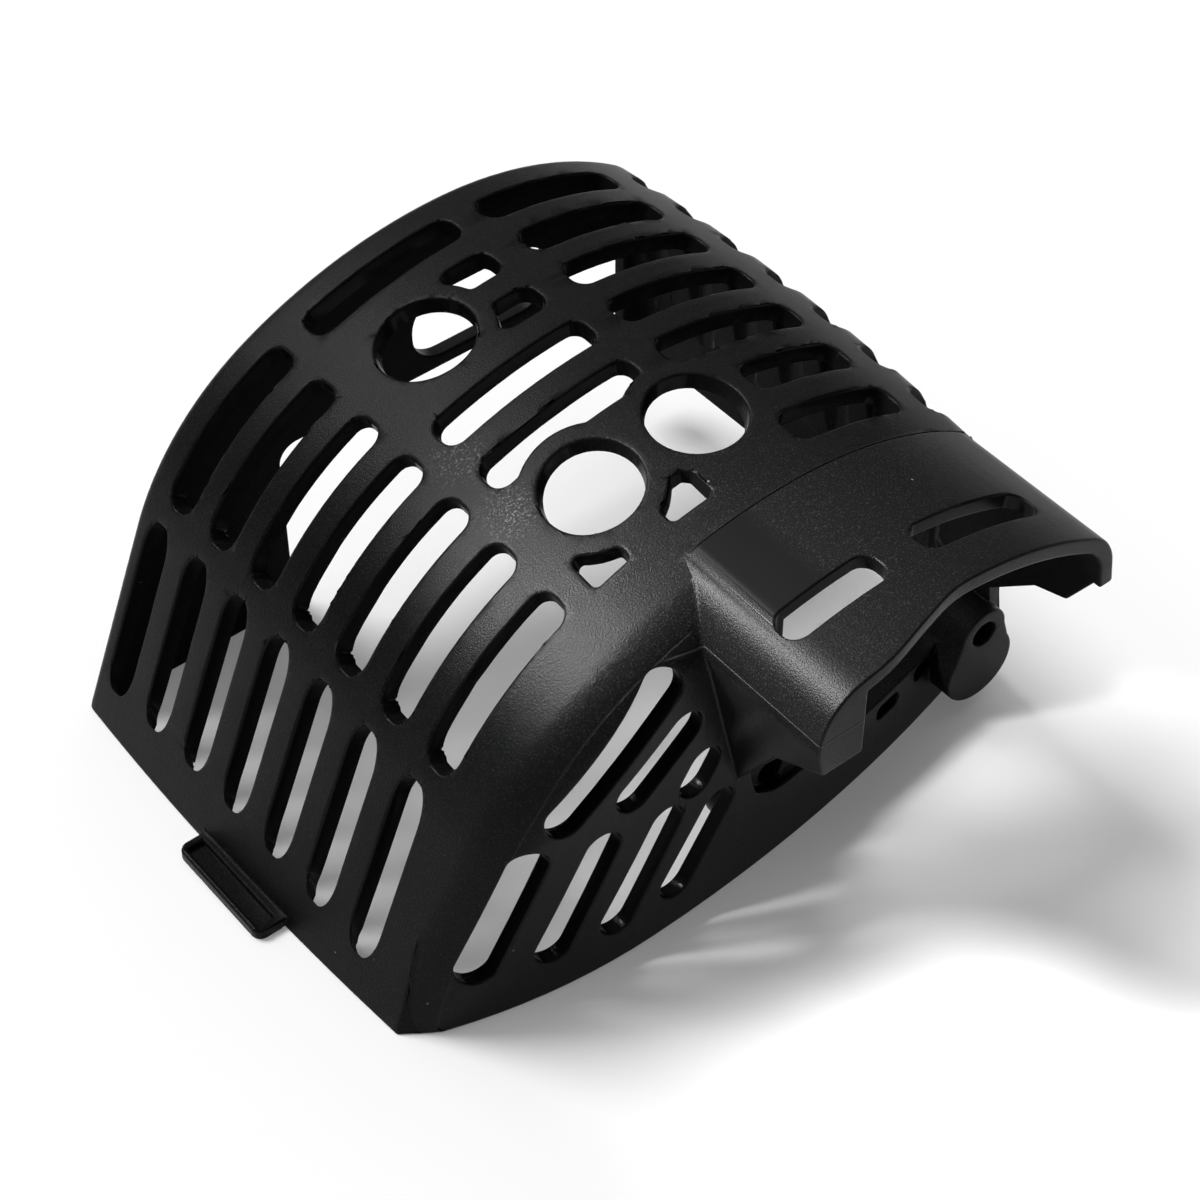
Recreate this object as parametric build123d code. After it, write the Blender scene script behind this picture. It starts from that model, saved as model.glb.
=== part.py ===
from build123d import *
import os
from math import atan2, cos, degrees, hypot, radians, sin, tan

# Muffler cover, one moulding, in millimetres.
# X runs from the front rim to the back rim, Y from the outlet hood to the engine end, Z up from the rim.
# The arch is drawn across X and swung about a low axis along X, so the crown is bowed along its length.

# Arch
wall = 3.2
crown_height = 82.8
apex_x = 21.0
split_x = 16.0
front_crown_radius = 95.0
front_crown_sweep = 28.0
front_flank_radius = 60.0
front_lean = 22.5
back_crown_radius = 75.0
back_crown_sweep = 33.5
back_shoulder_radius = 12.0
back_lean = 8.0
bow_radius = 385.0
bow_y = 3.0

# Ends
engine_end_y = 48.2
engine_edge_radius = 2.4
near_wall_x = -18.0
near_wall_y = -63.4
near_front_radius = 125.0
near_back_radius = 330.0
near_blend = 11.0

# Crown slots
slot_width = 7.2
slot_pitch = 13.0
slot_first_y = 37.4
slot_columns = 7
slot_floor = 3.0
slot_corner_radius = 2.8
stub_corner_radius = 1.2
front_lower_row = (-63.8, -49.2)
front_lower_shift = 2.9
front_upper_row = (-47.0, -20.7)
middle_row = (-15.5, 17.5)
middle_stub = (6.0, 16.5)
middle_corner_stubs = ((-15.5, -8.0), (1.0, 10.0))
back_upper_row = (23.5, 54.7)
back_upper_short = (31.7, 29.2)
back_lower_row = (61.0, 68.6)

# Access holes
access_radius = 9.2
access_land = 3.8
access_front_x = -4.0
access_back_x = 18.9
access_near_y = -28.9
access_far_y = 17.6

# Outlet hood, level along Y
hood_root_y = -50.5
hood_height = 79.6
hood_back_radius = 75.0
hood_back_sweep = 32.0
hood_side_x = -7.7
hood_side_z = 68.0
hood_side_lean = 13.0
hood_side_radius = 11.0
hood_under_front = ((-60.0, 24.2), (-77.2, 51.1), (-90.4, 60.2))
hood_under_back = ((-56.8, 14.0), (-57.6, 29.6), (-69.5, 40.8), (-77.2, 43.8), (-83.6, 54.0))
hood_under_split = 62.0
lip_front_y = -90.4
lip_front_x = 8.0
lip_middle = (26.0, -85.6)
lip_back_y = -84.8
lip_ease_radius = 30.0
hood_slot_width = 6.6
hood_slot_y = -73.7
hood_front_slot = (-1.0, 20.0)
hood_back_slot = (28.5, 55.5)

# Outlet mouth
strip_height = 17.5
strip_thickness = 5.4
mouth_front_x = 2.8
mouth_front_radius = 12.0
mouth_back_x = 71.5
mouth_back_radius = 18.0
strip_hole_places = ((43.4, 13.6), (55.0, 14.6))
strip_hole_size = (6.2, 3.4)
strip_hole_radius = 1.2

# Near wall slots, each given by its upper and lower end across X and Z
wall_slot_width = 7.4
wall_slots = (
    ((-13.0, 66.0), (-38.6, 42.4)),
    ((-8.6, 53.8), (-25.2, 40.3)),
    ((-4.6, 42.0), (-10.6, 33.0)),
    ((-41.4, 39.6), (-54.0, 11.2)),
    ((-27.2, 36.1), (-40.3, 9.3)),
    ((-13.3, 33.0), (-27.5, 8.4)),
    ((-1.1, 28.5), (-14.6, 8.5)),
)
wall_slot_y = (-80.0, -48.0)

# Screw lugs
lug_spacing = 53.2
lug_front_x = 11.9
lug_z = 20.6
lug_top_radius = 5.6
lug_foot_z = 11.8
lug_foot_radius = 8.2
lug_face_y = -60.0
lug_depth = 8.5
screw_radius = 2.7

# Engine end openings
engine_notch_x = (-20.0, 64.0)
engine_notch_z = 41.3
engine_step_x = (49.0, 64.0)
engine_step_z = 48.0
engine_notch_radius = 4.0
window_x = (12.0, 45.0)
window_z = (44.3, 59.5)
window_radius = 7.0

# Raised back rim, which leaves a foot at the outlet end only
back_rim_z = 15.5
back_foot_y = -44.0
back_rim_x = 58.0

# Front corner, faceted at the rim and running out into the near blend
corner_near = (-60.3, -55.8)
corner_front = (-67.9, -50.5)
corner_height = 45.0
corner_runout = 4.0

# Locating tongue
tongue_y = (-20.0, 6.0)
tongue_tip_x = -73.4
tongue_root_x = -64.0
tongue_thickness = 2.2
tongue_radius = 2.0
groove_x = (-72.2, -68.8)
groove_margin = 1.6
groove_depth = 1.2

# Reach of the cutting blocks, beyond the part on every side
reach = 120.0
section_depth = 20.0
far_swing = 13.0
near_swing = 18.0
front_turn = 45.0
back_turn = 20.0
end_cut_depth = 9.6
near_gap = 0.8
right_angle = 90.0

bow_axis = Axis((0, bow_y, crown_height - bow_radius), (1, 0, 0))
front_half = (front_crown_radius, front_crown_sweep, front_flank_radius, front_lean)
back_half = (back_crown_radius, back_crown_sweep, back_shoulder_radius, back_lean)
hood_half = (hood_back_radius, hood_back_sweep, back_shoulder_radius, back_lean)
lugs_x = (lug_front_x, lug_front_x + lug_spacing)
land_radius = access_radius + access_land
access_places = (
    (access_front_x, access_far_y),
    (access_front_x, access_near_y),
    (access_back_x, access_near_y),
)


def polar(centre, radius, angle):
    """Point of the section at an angle from straight up, positive towards the back."""
    return Vector(centre.X + radius * sin(radians(angle)), bow_y, centre.Z + radius * cos(radians(angle)))


def section_arc(centre, radius, start, end):
    middle = polar(centre, radius, (start + end) / 2)
    return ThreePointArc(polar(centre, radius, start), middle, polar(centre, radius, end))


def crown_centre(half, height):
    return Vector(apex_x, bow_y, height - half[0])


def flank_edges(half, side, height, inset):
    """Second arc and flank on one side of the apex, and the flank's low end."""
    crown, sweep, second, lean = half
    pivot = polar(crown_centre(half, height), crown - second, side * sweep)
    turn = side * (right_angle - lean)
    flank = polar(pivot, second - inset, turn)
    drop = flank.Z + section_depth
    low = Vector(flank.X + side * drop * tan(radians(lean)), bow_y, -section_depth)
    return [section_arc(pivot, second - inset, side * sweep, turn), Line(flank, low)], low


def arch_face(left, right, height, inset):
    """Section of the arch, with one crown arc where both sides share it."""
    left_edges, left_low = flank_edges(left, -1, height, inset)
    right_edges, right_low = flank_edges(right, 1, height, inset)
    if left == right:
        crown = [section_arc(crown_centre(left, height), left[0] - inset, -left[1], left[1])]
    else:
        crown = [
            section_arc(crown_centre(left, height), left[0] - inset, -left[1], 0),
            section_arc(crown_centre(right, height), right[0] - inset, 0, right[1]),
        ]
    return make_face(left_edges + crown + right_edges + [Line(left_low, right_low)])


def swing(face):
    """Swing a section about the bow axis, past both ends of the part."""
    return revolve(face.rotate(bow_axis, -far_swing), bow_axis, far_swing + near_swing)


def block(x_range, y_range, z_range):
    size = (x_range[1] - x_range[0], y_range[1] - y_range[0], z_range[1] - z_range[0])
    middle = (sum(x_range) / 2, sum(y_range) / 2, sum(z_range) / 2)
    return Pos(*middle) * Box(*size)


def wall_point(radius, inset, turn):
    centre_y = near_wall_y + radius
    away = radius - inset
    return Vector(near_wall_x + away * sin(radians(turn)), centre_y - away * cos(radians(turn)))


def plan_block(inset):
    """Upright block between the engine end and the curved near wall."""
    far = engine_end_y - inset
    front = wall_point(near_front_radius, inset, -front_turn)
    middle = wall_point(near_front_radius, inset, 0)
    back = wall_point(near_back_radius, inset, back_turn)
    outline = make_face([
        ThreePointArc(front, wall_point(near_front_radius, inset, -front_turn / 2), middle),
        ThreePointArc(middle, wall_point(near_back_radius, inset, back_turn / 2), back),
        Polyline(back, (back.X, far), (front.X, far), front),
    ])
    return extrude(outline, reach)


def blend_edges(solid):
    """Edges where the arch meets the near wall."""
    edges = []
    for edge in solid.edges():
        box = edge.bounding_box()
        upright = box.size.X + box.size.Y < wall
        if box.max.Y < near_wall_y / 2 and box.max.Z > wall and not upright:
            edges.append(edge)
    return edges


def front_chamber(inset):
    """Vault up to the apex, blended into the near wall."""
    arch = swing(arch_face(front_half, front_half, crown_height, inset))
    solid = (arch & plan_block(inset)).solid()
    solid = fillet(blend_edges(solid), near_blend - inset)
    return solid & block((-reach, split_x), (-reach, reach), (0, reach))


def corner_facet():
    """Facet that squares the near blend at the front corner, running out as it climbs."""
    near = Vector(*corner_near, 0)
    along = Vector(*corner_front, 0) - near
    inward = Vector(along.Y, -along.X, 0).normalized()
    rise = Vector(tan(radians(front_lean)), 0, 1) * corner_height + inward * corner_runout
    side = Plane(near, x_dir=along, z_dir=along.cross(rise))
    keep = side * Pos(0, 0, reach / 2) * Box(2 * reach, 2 * reach, reach)
    arch = swing(arch_face(front_half, front_half, crown_height, 0))
    return arch & plan_block(0) & keep & block((-reach, near_wall_x), (-reach, 0), (0, corner_height))


def back_chamber(inset):
    """Vault behind the split, ended where the hood takes over."""
    arch = swing(arch_face(front_half, back_half, crown_height, inset))
    start = split_x - inset
    return arch & block((start, reach), (hood_root_y + inset, engine_end_y - inset), (0, reach))


def hood_face(inset):
    """Arch section of the hood, closed at its front by the leaning side wall."""
    face = arch_face(front_half, hood_half, hood_height, inset)
    lean = tan(radians(hood_side_lean))
    shift = hood_side_x + inset / cos(radians(hood_side_lean))
    low = Vector(shift + (hood_side_z + section_depth) * lean, bow_y, -section_depth)
    high = Vector(shift - (reach - hood_side_z) * lean, bow_y, reach)
    keep = make_face([Polyline(low, high, (reach, bow_y, reach), (reach, bow_y, -section_depth), low)])
    face = (face & keep).face()
    corner = face.vertices().sort_by(Axis.X)[0]
    return fillet(corner, hood_side_radius - inset).face()


def level_run(inset, root_y):
    """Hood section carried straight along Y, from its root out past the lip."""
    face = hood_face(inset).moved(Pos(0, root_y - bow_y, 0))
    return extrude(face, reach, dir=(0, -1, 0)) & block((-reach, reach), (-reach, reach), (0, reach))


def under_block(points, x_range):
    """Everything above the bent underside of the hood, given by points across Y and Z."""
    top = [(-reach, points[-1][1]), (-reach, reach), (hood_root_y, reach), (hood_root_y, points[0][1])]
    corners = [(x_range[0], y, z) for y, z in [*points, *top, points[0]]]
    return extrude(make_face([Polyline(*corners)]), x_range[1] - x_range[0], dir=(1, 0, 0))


def lip_block():
    """Everything behind the lip, which steps back in a soft double curve."""
    corners = [(lip_front_x, lip_front_y), lip_middle]
    start = (-reach, lip_front_y)
    outline = make_face([
        Polyline(start, *corners, (reach, lip_back_y), (reach, reach), (-reach, reach), start),
    ])
    eased = [outline.vertices().sort_by_distance(Vertex(*corner))[0] for corner in corners]
    return extrude(fillet(eased, lip_ease_radius), reach)


def hood():
    """Outside of the hood and of the wall below it."""
    front = under_block(hood_under_front, (-reach, hood_under_split))
    back = under_block(hood_under_back, (hood_under_split, reach))
    return level_run(0, hood_root_y) & (plan_block(0) + ((front + back) & lip_block()))


def mouth():
    """Space above the low strip at the outlet, with both low corners rounded."""
    space = block((mouth_front_x, mouth_back_x), (-reach, reach), (strip_height, reach))
    low_edges = space.edges().filter_by(Axis.Y).sort_by(Axis.Z)[:2].sort_by(Axis.X)
    space = fillet(low_edges[0], mouth_front_radius)
    low_edge = space.edges().filter_by(Axis.Y).group_by(Axis.Z)[0].sort_by(Axis.X)[-1]
    return fillet(low_edge, mouth_back_radius)


def hood_space():
    """Inside of the hood, open through the near wall above the strip."""
    return level_run(wall, hood_root_y + wall) & (plan_block(strip_thickness) + mouth())


def strip_hole(x, z):
    """Small hole through the strip, just below its top edge."""
    shape = Pos(x, z) * RectangleRounded(*strip_hole_size, strip_hole_radius)
    return extrude(upright(lug_face_y + lug_depth) * shape, reach)


def slot(x_range, y, width):
    return Pos(sum(x_range) / 2, y) * RectangleRounded(x_range[1] - x_range[0], width, slot_corner_radius)


def middle_slots(columns):
    """Middle row, cut back to the round lands of the access holes, its new corners rounded."""
    slots = [slot(middle_row, columns[index], slot_width) for index in (0, 3, 4)]
    slots += [slot(middle_stub, columns[index], slot_width) for index in (1, 2)]
    for stub in middle_corner_stubs:
        slots.append(Pos(sum(stub) / 2, columns[-1]) * Rectangle(stub[1] - stub[0], slot_width))
    trimmed = Sketch() + slots - [Pos(*place) * Circle(land_radius) for place in access_places]
    shrunk = [offset(face, -stub_corner_radius) for face in trimmed.faces()]
    return [offset(shape, stub_corner_radius, kind=Kind.ARC) for shape in shrunk]


def crown_cut():
    columns = [slot_first_y - slot_pitch * index for index in range(slot_columns)]
    slots = middle_slots(columns)
    slots += [slot(front_lower_row, y + front_lower_shift, slot_width) for y in columns]
    for row in (front_upper_row, back_lower_row):
        slots += [slot(row, y, slot_width) for y in columns]
    starts = [back_upper_row[0]] * (slot_columns - len(back_upper_short)) + list(back_upper_short)
    slots += [slot((start, back_upper_row[1]), y, slot_width) for start, y in zip(starts, columns)]
    slots += [Pos(*place) * Circle(access_radius) for place in access_places]
    return extrude(Pos(0, 0, slot_floor) * (Sketch() + slots), reach)


def hood_cut():
    slots = [slot(row, hood_slot_y, hood_slot_width) for row in (hood_front_slot, hood_back_slot)]
    return extrude(Pos(0, 0, strip_height) * (Sketch() + slots), reach)


def upright(y):
    """Plane across X and Z, facing the outlet end."""
    return Plane((0, y, 0), x_dir=(1, 0, 0), z_dir=(0, -1, 0))


def wall_cut():
    slots = []
    for upper, lower in wall_slots:
        across = upper[0] - lower[0]
        up = upper[1] - lower[1]
        shape = SlotOverall(hypot(across, up), wall_slot_width, rotation=degrees(atan2(up, across)))
        slots.append(Pos((upper[0] + lower[0]) / 2, (upper[1] + lower[1]) / 2) * shape)
    return extrude(upright(wall_slot_y[1]) * (Sketch() + slots), wall_slot_y[1] - wall_slot_y[0])


def lug(x):
    """Upright rounded lug beside the outlet."""
    low = (x - lug_foot_radius, lug_foot_z), (x + lug_foot_radius, lug_foot_z)
    high = (x + lug_top_radius, lug_z), (x - lug_top_radius, lug_z)
    shape = make_face([Polyline(*low, *high, low[0])])
    shape = shape + Pos(x, lug_foot_z) * Circle(lug_foot_radius) + Pos(x, lug_z) * Circle(lug_top_radius)
    return extrude(upright(lug_face_y + lug_depth) * shape, lug_depth)


def screw_cut(x):
    return extrude(upright(0) * Pos(x, lug_z) * Circle(screw_radius), reach)


def rounded_window(x_range, z_range, radius):
    shape = RectangleRounded(x_range[1] - x_range[0], z_range[1] - z_range[0], radius)
    place = Pos(sum(x_range) / 2, sum(z_range) / 2)
    return extrude(upright(engine_end_y + wall) * place * shape, end_cut_depth)


def tongue():
    plate = block((tongue_tip_x, tongue_root_x), tongue_y, (0, tongue_thickness))
    plate = fillet(plate.edges().filter_by(Axis.Z).sort_by(Axis.X)[:2], tongue_radius)
    groove_y = (tongue_y[0] + groove_margin, tongue_y[1] - groove_margin)
    return plate - block(groove_x, groove_y, (tongue_thickness - groove_depth, tongue_thickness))


def engine_edges(solid):
    edges = solid.edges().filter_by_position(Axis.Y, engine_end_y - near_gap, engine_end_y + near_gap)
    return [edge for edge in edges if edge.bounding_box().max.Z > wall]


def engine_end_cut():
    """Openings through the engine end: a stepped notch up from the rim and a window above it."""
    notch = rounded_window(engine_notch_x, (-engine_notch_z, engine_notch_z), engine_notch_radius)
    step = rounded_window(engine_step_x, (-engine_step_z, engine_step_z), engine_notch_radius)
    return [notch, step, rounded_window(window_x, window_z, window_radius)]


def muffler_cover():
    chamber = front_chamber(0) + corner_facet() + back_chamber(0)
    chamber = fillet(engine_edges(chamber), engine_edge_radius)
    chamber = chamber - wall_cut()
    body = chamber + hood() - front_chamber(wall) - back_chamber(wall) - hood_space()
    body = body - crown_cut() - hood_cut()
    for place in strip_hole_places:
        body = body - strip_hole(*place)
    for x in lugs_x:
        body = body + lug(x)
    for x in lugs_x:
        body = body - screw_cut(x)
    for cut in engine_end_cut():
        body = body - cut
    body = body - block((back_rim_x, reach), (back_foot_y, reach), (-reach, back_rim_z))
    body = body + tongue()
    box = body.bounding_box()
    return Pos(-box.center().X, -box.center().Y, -box.min.Z) * body


os.makedirs("parts", exist_ok=True)
export_step(muffler_cover(), "parts/muffler_cover.step")
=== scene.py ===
import math

import bmesh
import bpy
from mathutils import Euler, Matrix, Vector
from mathutils.bvhtree import BVHTree


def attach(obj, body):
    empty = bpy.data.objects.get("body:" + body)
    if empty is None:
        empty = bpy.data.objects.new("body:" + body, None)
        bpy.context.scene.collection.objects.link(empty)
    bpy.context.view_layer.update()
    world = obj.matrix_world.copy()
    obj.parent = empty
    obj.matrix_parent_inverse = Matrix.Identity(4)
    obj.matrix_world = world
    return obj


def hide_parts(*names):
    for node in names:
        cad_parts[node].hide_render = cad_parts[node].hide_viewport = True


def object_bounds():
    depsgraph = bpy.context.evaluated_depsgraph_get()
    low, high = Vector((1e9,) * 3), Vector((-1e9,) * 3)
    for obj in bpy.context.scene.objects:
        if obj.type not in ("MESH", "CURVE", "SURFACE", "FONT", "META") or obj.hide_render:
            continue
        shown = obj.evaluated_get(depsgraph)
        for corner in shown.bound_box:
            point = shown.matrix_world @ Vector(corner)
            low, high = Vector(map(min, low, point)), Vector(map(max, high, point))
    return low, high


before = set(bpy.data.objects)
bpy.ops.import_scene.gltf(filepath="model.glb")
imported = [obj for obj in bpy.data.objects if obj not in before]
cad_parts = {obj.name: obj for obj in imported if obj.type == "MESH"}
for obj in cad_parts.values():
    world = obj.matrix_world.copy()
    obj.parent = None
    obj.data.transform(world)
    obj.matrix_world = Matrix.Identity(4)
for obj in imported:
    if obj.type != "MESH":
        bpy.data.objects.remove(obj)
cad_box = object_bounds()

# The cover: one guard, injection-moulded in black glass-filled nylon, with its hood, lugs and tongue in one shot.
# A copy of the plain solid is joined up into one skin, and the walls of its slots are marked: they are upright in
# the crown and the hood, and level along Y in the near wall.
MERGE_GAP = 0.000006
PLUMB = 0.02
SLOTTED_SPAN = (-0.0250, 0.0655)
HOOD_SLOT_SPAN = (-0.0570, -0.0480)
HOOD_SLOT_FLOOR = 0.05
NEAR_WALL_SPAN = (-0.0430, -0.0290)
NEAR_WALL_FLOOR = 0.0005
NEAR_WALL_END_X = 0.01
RIM_FADE = (0.0015, 0.0090)


def within(value, span):
    return span[0] < value < span[1]


shape = bmesh.new()
shape.from_mesh(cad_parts["muffler_cover"].data)
bmesh.ops.remove_doubles(shape, verts=shape.verts, dist=MERGE_GAP)
bmesh.ops.dissolve_degenerate(shape, dist=MERGE_GAP, edges=shape.edges)
bmesh.ops.triangulate(shape, faces=shape.faces)
wall_mark = shape.faces.layers.int.new("slot_wall")
rim_mark = shape.verts.layers.int.new("inner_rim")
shape.normal_update()
skin = BVHTree.FromBMesh(shape)

for face in shape.faces:
    middle = face.calc_center_median()
    upright = abs(face.normal.z) < PLUMB
    level = abs(face.normal.y) < PLUMB
    in_crown = upright and within(middle.y, SLOTTED_SPAN) and middle.z > RIM_FADE[1]
    in_hood = upright and within(middle.y, HOOD_SLOT_SPAN) and middle.z > HOOD_SLOT_FLOOR
    at_near_wall = within(middle.y, NEAR_WALL_SPAN) and middle.x < NEAR_WALL_END_X
    in_near_wall = level and at_near_wall and middle.z > NEAR_WALL_FLOOR
    face[wall_mark] = int(in_crown or in_hood or in_near_wall)

# The slots: slides in the mould draw them square to the skin and a little narrower inside, most of all low on the
# front flank. So each inner rim of the plain solid, which is cut straight down, moves to a point square below its
# outer rim. The move fades out towards the floor, where the cover has to stand flat.
SKIN_DEPTH = 0.0032
FLANK_X = -0.0475
SIDE_TAPER = 0.00035
FLANK_SIDE_TAPER = 0.0008
END_TAPER = 0.00035
FLANK_END_TAPER = 0.0018
HIGH_ABOVE = 0.2
DOWN = Vector((0, 0, -1))
OFF_THE_WALL = 0.0002
STEEPEST_SKIN = 0.2
LEAST_DEPTH = 0.0006
DEPTH_SLACK = (1.2, 0.0005)

moves = []
for vert in shape.verts:
    if not within(vert.co.y, SLOTTED_SPAN):
        continue
    into_slot = Vector((0, 0, 0))
    for face in vert.link_faces:
        if face[wall_mark]:
            into_slot += face.normal
    into_slot.normalize()
    spot = vert.co - into_slot * OFF_THE_WALL
    top, normal, _, _ = skin.ray_cast(Vector((spot.x, spot.y, HIGH_ABOVE)), DOWN)
    if top is None or normal.z < STEEPEST_SKIN:
        continue
    depth = top.z - vert.co.z
    through = SKIN_DEPTH / normal.z
    if not within(depth, (LEAST_DEPTH, through * DEPTH_SLACK[0] + DEPTH_SLACK[1])):
        continue
    share = min(depth / through, 1)
    fade = min(max((vert.co.z - RIM_FADE[0]) / (RIM_FADE[1] - RIM_FADE[0]), 0), 1)
    at_flank = vert.co.x < FLANK_X
    at_end = into_slot.x * into_slot.x
    side_taper = FLANK_SIDE_TAPER if at_flank else SIDE_TAPER
    end_taper = FLANK_END_TAPER if at_flank else END_TAPER
    taper = side_taper + (end_taper - side_taper) * at_end
    inwards = into_slot - normal * into_slot.dot(normal)
    square = Vector((vert.co.x, vert.co.y, top.z)) - normal * SKIN_DEPTH * share + inwards * taper * share
    moves.append((vert, vert.co.lerp(square, fade)))
for vert, target in moves:
    vert.co = target
    vert[rim_mark] = 1
shape.normal_update()

# The edges: the mould rounds the outer ones by half a millimetre. The inner rims stay sharp, and so do the creases
# at the hood's root. Corners that the rounding throws off go back to the drawn surface and into the solid's box.
SHARP_ANGLE = math.radians(32)
CREASE_ANGLE = math.radians(12)
EVEN_ANGLE = math.radians(8)
HOOD_ROOT_Y = -0.0294
ON_PLANE = 0.0001
EDGE_ROUND = 0.0005
STRAY = 0.00035

even = []
sharp = []
for edge in shape.edges:
    if not edge.is_manifold:
        continue
    angle = edge.calc_face_angle()
    first, second = edge.verts
    middle = (first.co + second.co) / 2
    plain = not any(face[wall_mark] for face in edge.link_faces)
    if angle < EVEN_ANGLE and plain and within(middle.y, SLOTTED_SPAN) and middle.z > RIM_FADE[1]:
        even.append(edge)
    at_root = max(abs(first.co.y - HOOD_ROOT_Y), abs(second.co.y - HOOD_ROOT_Y)) < ON_PLANE
    if middle.y < SLOTTED_SPAN[0] and (angle > CREASE_ANGLE or at_root):
        edge.smooth = False
    if angle > SHARP_ANGLE and first[rim_mark] and second[rim_mark]:
        edge.smooth = False
    elif angle > SHARP_ANGLE:
        edge.smooth = True
        sharp.append(edge)
bmesh.ops.beautify_fill(shape, faces=shape.faces, edges=even, use_restrict_tag=False, method="ANGLE")
shape.normal_update()
shape.faces.index_update()
drawn = BVHTree.FromBMesh(shape)
drawn_walls = {face.index for face in shape.faces if face[wall_mark]}
sharp = [edge for edge in sharp if edge.is_valid]
bmesh.ops.bevel(shape, geom=sharp, offset=EDGE_ROUND, offset_type="OFFSET", segments=2, profile=0.5,
                affect="EDGES", clamp_overlap=False, material=-1)
low, high = (Vector(corner) for corner in cad_box)
for vert in shape.verts:
    near, _, _, gap = drawn.find_nearest(vert.co)
    if gap > STRAY:
        vert.co = near
    for axis in range(3):
        vert.co[axis] = min(max(vert.co[axis], low[axis]), high[axis])
for face in shape.faces:
    face.smooth = True
cover_mesh = bpy.data.meshes.new("grained_cover")
shape.to_mesh(cover_mesh)
shape.free()

# The finished piece: each point keeps whether it lies on a slot's wall and whether it faces the middle of the vault,
# where the material is given painted shade. The piece then takes the place of the plain solid.
VAULT_MIDDLE = Vector((0.005, 0.015, 0.015))
for name in ("slot_wall_share", "inner_shade_share"):
    cover_mesh.attributes.new(name, "FLOAT", "POINT")
slot_wall = cover_mesh.attributes["slot_wall_share"]
inner_shade = cover_mesh.attributes["inner_shade_share"]
for index, vert in enumerate(cover_mesh.vertices):
    slot_wall.data[index].value = float(drawn.find_nearest(vert.co)[2] in drawn_walls)
    inner_shade.data[index].value = float(vert.normal.dot(VAULT_MIDDLE - vert.co) > 0)
cover_mesh.materials.clear()
cover = bpy.data.objects.new("grained_cover", cover_mesh)
bpy.context.collection.objects.link(cover)
even_normals = cover.modifiers.new("even_normals", "WEIGHTED_NORMAL")
even_normals.keep_sharp = True
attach(cover, "root")
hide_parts("muffler_cover")


class Wire:
    """A shader socket that takes part in sums, and makes any other node of its tree."""

    def __init__(self, tree, socket=None):
        self.tree = tree
        self.socket = socket

    def node(self, kind, settings, sockets, output=0):
        made = self.tree.nodes.new(kind)
        for name, value in settings.items():
            setattr(made, name, value)
        for key, value in sockets.items():
            if isinstance(value, Wire):
                self.tree.links.new(value.socket, made.inputs[key])
            else:
                made.inputs[key].default_value = value
        return Wire(self.tree, made.outputs[output] if made.outputs else None)

    def out(self, name):
        return Wire(self.tree, self.socket.node.outputs[name])

    def calc(self, operation, first, second=0.0):
        return self.node("ShaderNodeMath", {"operation": operation}, {0: first, 1: second})

    def step(self, low, high):
        """Soft step from 0 at one value to 1 at another."""
        settings = {"interpolation_type": "SMOOTHSTEP"}
        return self.node("ShaderNodeMapRange", settings, {"Value": self, "From Min": low, "From Max": high})

    def size(self):
        return self.calc("ABSOLUTE", self)

    def at_most(self, limit):
        return self.calc("MINIMUM", self, limit)

    def __add__(self, other):
        return self.calc("ADD", self, other)

    __radd__ = __add__

    def __sub__(self, other):
        return self.calc("SUBTRACT", self, other)

    def __rsub__(self, other):
        return self.calc("SUBTRACT", other, self)

    def __mul__(self, other):
        return self.calc("MULTIPLY", self, other)

    __rmul__ = __mul__


# The skin: spark-eroded grain outside, smooth polished walls inside the slots, where steel pins slid out of the
# mould, and inside the vault a dull copy of the plastic that is painted shade, which the slot walls get at part
# strength. Two parting lines run down the near corner and along the hood's side; the hood's line is also painted
# lighter as a painted highlight. The crown is dusty and scuffed, and its two scuffed spots also carry a painted
# highlight.
BLACK = (0.0034, 0.0034, 0.0036, 1)
PALE_DUST_AND_HIGHLIGHT = (0.15, 0.15, 0.146, 1)
LINE_WIDTH = (0.00006, 0.00022)
CORNER_LINE_Y = -0.0389
CORNER_LINE_DRIFT = 0.0043
CORNER_LINE_TOP = 0.055
CORNER_LINE_END = (-0.010, -0.009)
HOOD_LINE_Z = 0.068
HOOD_LINE_ROOT = (-0.0400, -0.0389)
HOOD_LINE_END = (0.0, 0.002)
GRAIN_HEIGHT = 0.00009
HOOD_LINE_HEIGHT = 0.00012
CORNER_LINE_DEPTH = 0.00010
SCUFF_AND_HIGHLIGHT_PLACES = ((-0.0166, 0.0140, 0.0754), (-0.0176, -0.0011, 0.0743))
SCUFF_AND_HIGHLIGHT_REACH = (0.001, 0.0085)
plastic = bpy.data.materials.new("black_grained_nylon")
plastic.use_nodes = True
plastic.node_tree.nodes.clear()
tree = Wire(plastic.node_tree)
place = tree.node("ShaderNodeTexCoord", {}, {}, "Object")
x = tree.node("ShaderNodeSeparateXYZ", {}, {"Vector": place}, "X")
y = x.out("Y")
z = x.out("Z")
smooth = tree.node("ShaderNodeAttribute", {"attribute_name": "slot_wall_share"}, {}, "Fac")
inner = tree.node("ShaderNodeAttribute", {"attribute_name": "inner_shade_share"}, {}, "Fac") * (1 - smooth)

grain = tree.node("ShaderNodeTexNoise", {}, {"Vector": place, "Scale": 3300.0, "Detail": 2.0, "Roughness": 0.6})
patches = tree.node("ShaderNodeTexNoise", {}, {"Vector": place, "Scale": 55.0, "Detail": 4.0})

corner_y = CORNER_LINE_Y + (1 - z.step(0.0, CORNER_LINE_TOP)) * CORNER_LINE_DRIFT
corner_line = (1 - (y - corner_y).size().step(*LINE_WIDTH)) * (1 - x.step(*CORNER_LINE_END))
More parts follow.
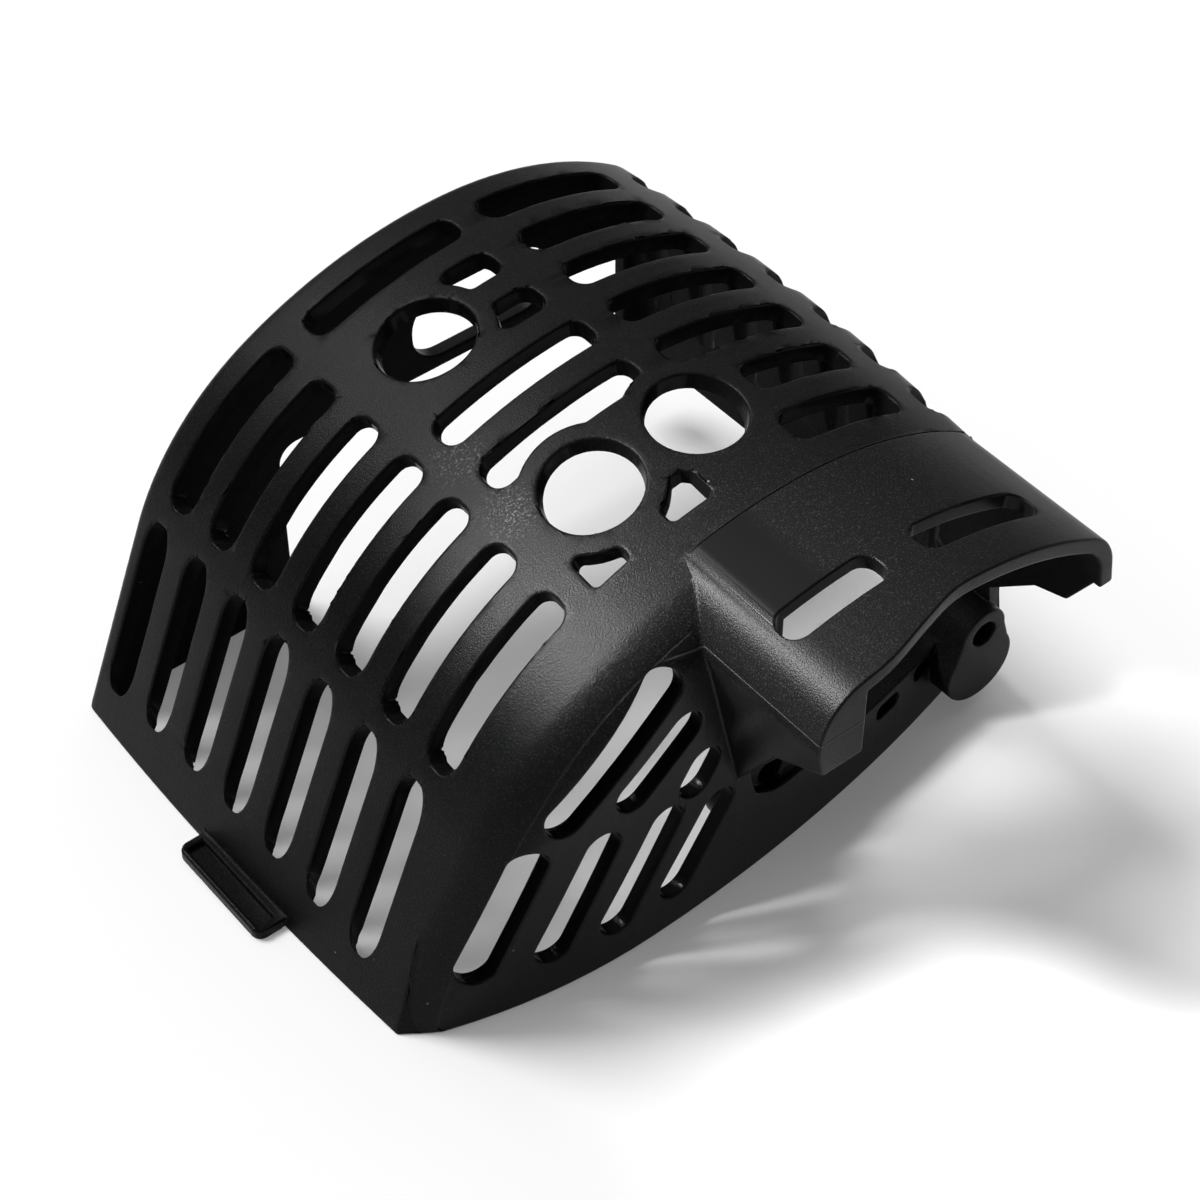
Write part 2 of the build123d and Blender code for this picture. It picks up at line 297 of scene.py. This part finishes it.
# The hood's parting line is a raised ridge in the bump, and is also painted lighter: a painted highlight along the
# ridge.
hood_line = 1 - (z - HOOD_LINE_Z).size().step(*LINE_WIDTH)
hood_line = hood_line * (1 - y.step(*HOOD_LINE_ROOT)) * (1 - x.step(*HOOD_LINE_END))

relief = grain * (1 - smooth * 0.9) * GRAIN_HEIGHT
relief = relief + hood_line * HOOD_LINE_HEIGHT - corner_line * CORNER_LINE_DEPTH
bump = tree.node("ShaderNodeBump", {}, {"Height": relief, "Strength": 0.9, "Distance": 1.0}, "Normal")

scratch = tree.node("ShaderNodeTexNoise", {}, {"Vector": place, "Scale": 2300.0, "Detail": 3.0, "Roughness": 0.7})
# Two scuffed spots on the crown: lighter scratch speckles of wear, which also serve as a painted highlight where the
# crown's sheen falls.
scuff_and_highlight = 0.0
for spot in SCUFF_AND_HIGHLIGHT_PLACES:
    away = tree.node("ShaderNodeVectorMath", {"operation": "DISTANCE"}, {0: place, 1: spot}, "Value")
    scuff_and_highlight = scuff_and_highlight + (1 - away.step(*SCUFF_AND_HIGHLIGHT_REACH))
scuff_and_highlight = scuff_and_highlight * scratch.step(0.53, 0.66) * (1 - smooth)
cells = tree.node("ShaderNodeTexVoronoi", {}, {"Vector": place, "Scale": 420.0}, "Distance")
chosen = tree.node("ShaderNodeSeparateXYZ", {}, {"Vector": cells.out("Color")}, "X")
dust = (1 - cells.step(0.05, 0.12)) * chosen.step(0.975, 0.985)
speckle = grain.step(0.52, 0.75) * (1 - smooth)
# Lighter colour mixed in: wear scuffs, dust and grain speckle, plus a painted highlight on the crown spots and along
# the hood's parting line, and a faint lighter line down the near corner.
dirt_and_highlight = (scuff_and_highlight * 0.7 + dust * 0.8 + hood_line * 0.12 + corner_line * 0.03 + speckle * 0.09).at_most(1.0)

# The mix node keeps its two colours in sockets 6 and 7, and gives the mixed colour in output 2.
colour = tree.node("ShaderNodeMix", {"data_type": "RGBA"}, {0: dirt_and_highlight, 6: BLACK, 7: PALE_DUST_AND_HIGHLIGHT}, 2)
gloss = 0.32 + (patches - 0.5) * 0.12 + (grain - 0.5) * 0.1 - smooth * 0.14 + dirt_and_highlight * 0.3
shared = {"Base Color": colour, "Normal": bump}
outside = tree.node("ShaderNodeBsdfPrincipled", {}, {**shared, "Roughness": gloss, "Specular IOR Level": 0.075})
# A dull, barely shiny copy of the plastic: painted shade, mixed onto the faces inside the vault and, at part
# strength, onto the slot walls.
inside = tree.node("ShaderNodeBsdfPrincipled", {}, {**shared, "Roughness": 0.65, "Specular IOR Level": 0.03})
whole = tree.node("ShaderNodeMixShader", {}, {0: inner * 0.95 + smooth * 0.45, 1: outside, 2: inside})
tree.node("ShaderNodeOutputMaterial", {}, {"Surface": whole})
cover_mesh.materials.append(plastic)

# The studio floor: a wide sheet of matt white paper. The camera, the reflections and clear things see a small
# part of it as plain white, and the rest takes the light, so it keeps the cover's shadow.
FLOOR_HALF = 12.0
FLOOR_WHITE = 0.12
floor_shape = bmesh.new()
bmesh.ops.create_grid(floor_shape, x_segments=1, y_segments=1, size=FLOOR_HALF)
floor_mesh = bpy.data.meshes.new("studio_floor")
floor_shape.to_mesh(floor_mesh)
floor_shape.free()
floor = bpy.data.objects.new("studio_floor", floor_mesh)
bpy.context.collection.objects.link(floor)

paper = bpy.data.materials.new("white_paper")
paper.use_nodes = True
paper.node_tree.nodes.clear()
sheet = Wire(paper.node_tree)
seen = sheet.node("ShaderNodeLightPath", {}, {}, "Is Camera Ray")
seen = (seen + seen.out("Is Glossy Ray") + seen.out("Is Transmission Ray")).at_most(1.0)
matt = sheet.node("ShaderNodeBsdfDiffuse", {}, {"Color": (0.95, 0.95, 0.95, 1)})
white = sheet.node("ShaderNodeEmission", {}, {"Color": (1, 1, 1, 1), "Strength": 1.0})
mixed = sheet.node("ShaderNodeMixShader", {}, {0: seen * FLOOR_WHITE, 1: matt, 2: white})
sheet.node("ShaderNodeOutputMaterial", {}, {"Surface": mixed})
floor_mesh.materials.append(paper)

# The studio light: one soft lamp and a very wide one, both above and behind, and a small softbox close to the hood
# that picks out its rounded edge. The room itself is dim, so the black plastic stays black.
LAMPS = (
    ("soft_lamp", 2.35, 24, (-0.19, 0.56, 0.81)),
    ("wide_lamp", 1.3, 100, (0.0, 0.45, 0.89)),
)
for name, energy, spread, side in LAMPS:
    lamp = bpy.data.lights.new(name, "SUN")
    lamp.energy = energy
    lamp.angle = math.radians(spread)
    lamp_rig = bpy.data.objects.new(name, lamp)
    lamp_rig.rotation_euler = Vector(side).to_track_quat("Z", "Y").to_euler()
    bpy.context.collection.objects.link(lamp_rig)

SOFTBOX_SIDE = Vector((-0.55, 0.50, 0.67))
SOFTBOX_TARGET = Vector((-0.004, -0.049, 0.076))
SOFTBOX_DISTANCE = 0.16
softbox = bpy.data.lights.new("softbox", "AREA")
softbox.shape = "DISK"
softbox.size = 0.06
softbox.energy = 0.085
softbox.spread = math.radians(40)
softbox_rig = bpy.data.objects.new("softbox", softbox)
softbox_rig.location = SOFTBOX_TARGET + SOFTBOX_SIDE * SOFTBOX_DISTANCE
softbox_rig.rotation_euler = SOFTBOX_SIDE.to_track_quat("Z", "Y").to_euler()
bpy.context.collection.objects.link(softbox_rig)

world = bpy.data.worlds.new("studio")
bpy.context.scene.world = world
world.use_nodes = True
world.node_tree.nodes.clear()
room = Wire(world.node_tree)
dim = room.node("ShaderNodeBackground", {}, {"Color": (1, 1, 1, 1), "Strength": 0.1})
room.node("ShaderNodeOutputWorld", {}, {"Surface": dim})

# The camera: it stands above the near front corner, where the photograph was taken from.
CAMERA_AIM = Vector((0.019256, 0.0201, 0.0114))
CAMERA_DISTANCE = 0.555
CAMERA_RISE = 46.2
CAMERA_TURN = -39.0
camera = bpy.data.objects.new("camera", bpy.data.cameras.new("camera"))
camera.data.lens = 86.07
camera.rotation_euler = Euler((math.radians(90 - CAMERA_RISE), 0, math.radians(CAMERA_TURN)))
camera.location = CAMERA_AIM + camera.rotation_euler.to_matrix() @ Vector((0, 0, CAMERA_DISTANCE))
bpy.context.collection.objects.link(camera)
bpy.context.scene.camera = camera
bpy.context.scene.view_settings.view_transform = "Standard"
